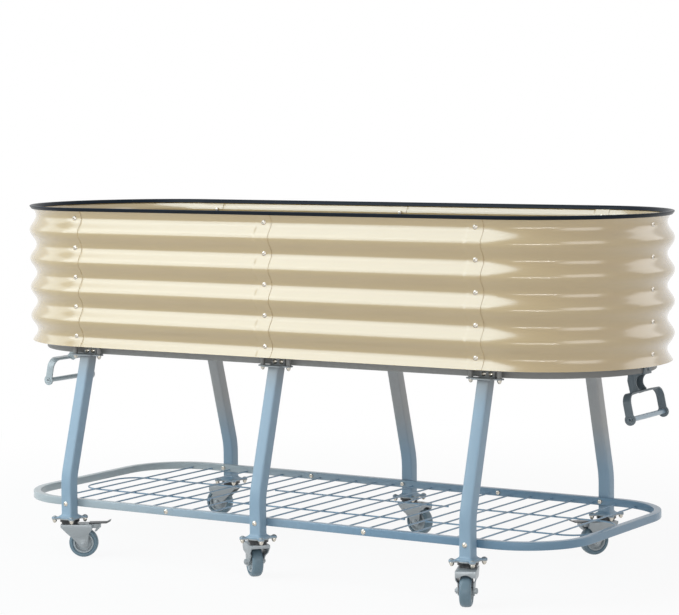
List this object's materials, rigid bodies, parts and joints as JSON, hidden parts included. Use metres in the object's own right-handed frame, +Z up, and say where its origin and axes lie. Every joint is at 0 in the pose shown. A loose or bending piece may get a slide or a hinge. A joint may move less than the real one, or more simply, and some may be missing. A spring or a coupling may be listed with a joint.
{
  "type": "elevated planter box",
  "caption": "Long round-ended corrugated metal planter bed on splayed square-tube legs with a wire shelf, end handles and swivel casters.",
  "frame": {"origin": "on the floor, under the middle of the bed", "axes": "+Z up, +X along the bed, front towards -Y"},
  "size_m": [1.82, 0.8257, 0.8939],
  "materials": {
    "wall_finish": "satin",
    "edge_trim": "satin",
    "powder_coat": "satin",
    "tray": "satin",
    "fastener": "satin",
    "caster_zinc": "satin",
    "hub": "matte",
    "tyre": "matte"
  },
  "bodies": {
    "planter": {"wall_front_left": "wall_finish", "wall_front_right": "wall_finish", "wall_back_left": "wall_finish", "wall_back_right": "wall_finish", "corner_front_left": "wall_finish", "corner_front_right": "wall_finish", "corner_back_left": "wall_finish", "corner_back_right": "wall_finish", "rim_trim": "edge_trim", "seam_fasteners": "fastener", "base_rail_front_left": "powder_coat", "base_rail_front_right": "powder_coat", "base_rail_back_left": "powder_coat", "base_rail_back_right": "powder_coat", "base_bow_left": "powder_coat", "base_bow_right": "powder_coat", "cross_ties": "powder_coat", "floor_tray_left": "tray", "floor_tray_right": "tray", "leg_front_left": "powder_coat", "leg_front_middle": "powder_coat", "leg_front_right": "powder_coat", "leg_back_left": "powder_coat", "leg_back_middle": "powder_coat", "leg_back_right": "powder_coat", "head_fasteners": "fastener", "shelf_bow_left": "powder_coat", "shelf_bow_right": "powder_coat", "shelf_rail_front": "powder_coat", "shelf_rail_back": "powder_coat", "shelf_mesh_left": "powder_coat", "shelf_mesh_middle": "powder_coat", "shelf_mesh_right": "powder_coat", "shelf_fasteners": "fastener", "handle_left": "powder_coat", "handle_right": "powder_coat", "grip_left": "powder_coat", "grip_right": "powder_coat", "caster_plates": "caster_zinc", "caster_fasteners": "fastener"},
    "caster_front_left": {"fork_front_left": "caster_zinc"},
    "wheel_front_left": {"hub_front_left": "hub", "tyre_front_left": "tyre"},
    "brake_front_left": {"pedal_front_left": "caster_zinc"},
    "caster_front_middle": {"fork_front_middle": "caster_zinc"},
    "wheel_front_middle": {"hub_front_middle": "hub", "tyre_front_middle": "tyre"},
    "caster_front_right": {"fork_front_right": "caster_zinc"},
    "wheel_front_right": {"hub_front_right": "hub", "tyre_front_right": "tyre"},
    "caster_back_left": {"fork_back_left": "caster_zinc"},
    "wheel_back_left": {"hub_back_left": "hub", "tyre_back_left": "tyre"},
    "caster_back_middle": {"fork_back_middle": "caster_zinc"},
    "wheel_back_middle": {"hub_back_middle": "hub", "tyre_back_middle": "tyre"},
    "caster_back_right": {"fork_back_right": "caster_zinc"},
    "wheel_back_right": {"hub_back_right": "hub", "tyre_back_right": "tyre"},
    "brake_back_right": {"pedal_back_right": "caster_zinc"}
  },
  "joints": [
    {"name": "swivel_front_left", "type": "hinge", "parent": "planter", "child": "caster_front_left", "pos_m": [-0.5855, -0.36, 0.09], "axis": [0, 0, 1], "continuous": true},
    {"name": "roll_front_left", "type": "hinge", "parent": "caster_front_left", "child": "wheel_front_left", "pos_m": [-0.55615, -0.34094, 0.0375], "axis": [-0.5446, 0.8387, 0], "continuous": true},
    {"name": "brake_front_left", "type": "hinge", "parent": "caster_front_left", "child": "brake_front_left", "pos_m": [-0.53183, -0.32514, 0.08], "axis": [-0.5446, 0.8387, 0], "range_deg": [0, 18]},
    {"name": "swivel_front_middle", "type": "hinge", "parent": "planter", "child": "caster_front_middle", "pos_m": [0, -0.36, 0.09], "axis": [0, 0, 1], "continuous": true},
    {"name": "roll_front_middle", "type": "hinge", "parent": "caster_front_middle", "child": "wheel_front_middle", "pos_m": [-0.02681, -0.3375, 0.0375], "axis": [-0.6428, -0.766, 0], "continuous": true},
    {"name": "swivel_front_right", "type": "hinge", "parent": "planter", "child": "caster_front_right", "pos_m": [0.5855, -0.36, 0.09], "axis": [0, 0, 1], "continuous": true},
    {"name": "roll_front_right", "type": "hinge", "parent": "caster_front_right", "child": "wheel_front_right", "pos_m": [0.59918, -0.39222, 0.0375], "axis": [0.9205, 0.3907, 0], "continuous": true},
    {"name": "swivel_back_left", "type": "hinge", "parent": "planter", "child": "caster_back_left", "pos_m": [-0.5855, 0.36, 0.09], "axis": [0, 0, 1], "continuous": true},
    {"name": "roll_back_left", "type": "hinge", "parent": "caster_back_left", "child": "wheel_back_left", "pos_m": [-0.61997, 0.35392, 0.0375], "axis": [0.1736, -0.9848, 0], "continuous": true},
    {"name": "swivel_back_middle", "type": "hinge", "parent": "planter", "child": "caster_back_middle", "pos_m": [0, 0.36, 0.09], "axis": [0, 0, 1], "continuous": true},
    {"name": "roll_back_middle", "type": "hinge", "parent": "caster_back_middle", "child": "wheel_back_middle", "pos_m": [0.03466, 0.35513, 0.0375], "axis": [0.1392, 0.9903, 0], "continuous": true},
    {"name": "swivel_back_right", "type": "hinge", "parent": "planter", "child": "caster_back_right", "pos_m": [0.5855, 0.36, 0.09], "axis": [0, 0, 1], "continuous": true},
    {"name": "roll_back_right", "type": "hinge", "parent": "caster_back_right", "child": "wheel_back_right", "pos_m": [0.56444, 0.33205, 0.0375], "axis": [0.7986, -0.6018, 0], "continuous": true},
    {"name": "brake_back_right", "type": "hinge", "parent": "caster_back_right", "child": "brake_back_right", "pos_m": [0.54698, 0.30889, 0.08], "axis": [0.7986, -0.6018, 0], "range_deg": [0, 18]}
  ]
}
